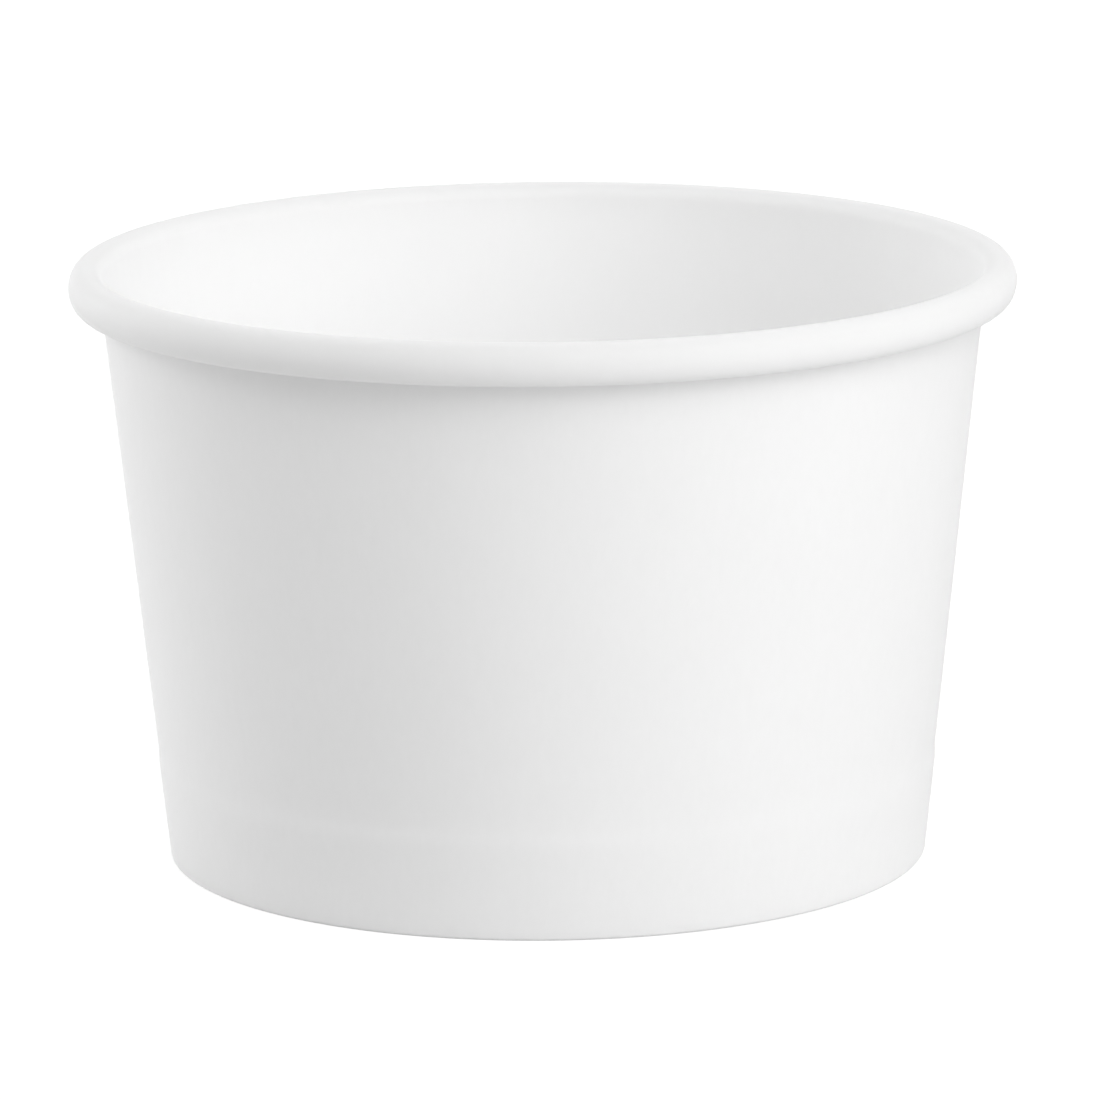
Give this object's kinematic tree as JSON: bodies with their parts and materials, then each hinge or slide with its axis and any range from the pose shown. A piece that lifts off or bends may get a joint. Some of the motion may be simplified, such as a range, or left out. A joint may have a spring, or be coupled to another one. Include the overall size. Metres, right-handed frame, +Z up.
{
  "type": "paper sundae cup",
  "caption": "Plain white round paper cup with a thick rolled rim, a slightly tapered glued wall, a recessed bottom and a folded foot.",
  "frame": {"origin": "centre of the standing ring, on the plane that the cup stands on", "axes": "+Z up along the cup's axis; the side that the picture shows faces -Y; the glued side seam lies at the back right, between +X and +Y"},
  "size_m": [0.096, 0.096, 0.0612],
  "materials": {
    "wall_board": "matt white coated board",
    "bottom_board": "matt white coated board"
  },
  "bodies": {
    "root": {"side_wall": "wall_board", "bottom_disc": "bottom_board"}
  },
  "joints": []
}
